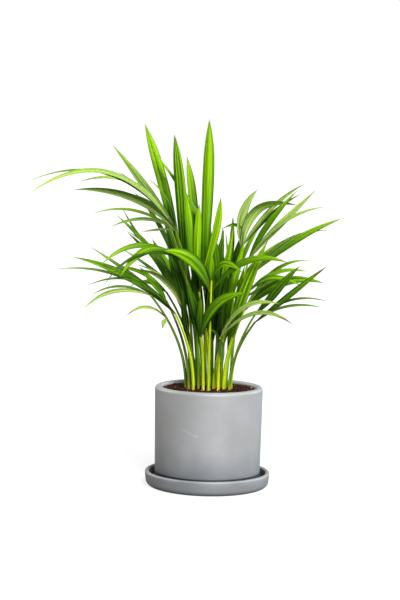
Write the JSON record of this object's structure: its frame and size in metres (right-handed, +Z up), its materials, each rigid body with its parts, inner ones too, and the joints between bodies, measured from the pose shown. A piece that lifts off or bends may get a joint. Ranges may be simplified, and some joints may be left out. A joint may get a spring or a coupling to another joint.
{
  "type": "potted palm",
  "caption": "Young areca-type palm: arching fronds with narrow pointed leaflets on upright stalks, in a cylindrical matt ceramic pot with soil, on a matching saucer.",
  "frame": {"origin": "centre of the saucer's flat underside, on the surface that it stands on", "axes": "+Z up along the pot's axis, +X to the right and -Y to the front of the plant as it is seen from its front"},
  "size_m": [0.424, 0.272, 0.49],
  "materials": {
    "ceramic": "matt stone grey",
    "soil": "moist dark red-brown potting soil",
    "leaf": "satin green living leaf",
    "shoot": "orange-yellow new shoot"
  },
  "bodies": {
    "root": {"saucer": "ceramic", "pot": "ceramic", "soil": "soil", "frond_left_low": "leaf", "frond_left_thin": "leaf", "frond_left_long": "leaf", "frond_left_drooping": "leaf", "frond_front_low": "leaf", "frond_front_stub": "leaf", "frond_front_broad": "leaf", "frond_right_arching": "leaf", "frond_right_dark": "leaf", "frond_right_amber_tip": "leaf", "frond_right_low_broad": "leaf", "frond_right_bright": "leaf", "frond_right_upright": "leaf", "frond_right_fan": "leaf", "frond_right_pair": "leaf", "frond_right_long": "leaf", "frond_crossing": "leaf", "frond_tallest": "leaf", "frond_dark_upright": "leaf", "frond_left_pale": "leaf", "frond_left_fan": "leaf", "frond_left_striped": "leaf", "frond_far_left": "leaf", "frond_left_pointed": "leaf", "frond_top_left": "leaf", "frond_pale_upright": "leaf", "frond_lime_pair": "leaf", "frond_lime_lobed": "leaf", "frond_inner_right": "leaf", "frond_back_left": "leaf", "frond_back_middle": "leaf", "frond_back_right": "leaf", "frond_back_low_right": "leaf", "frond_back_low_left": "leaf", "frond_back_low": "leaf", "shoot_left": "shoot", "shoot_right": "shoot"}
  },
  "joints": []
}
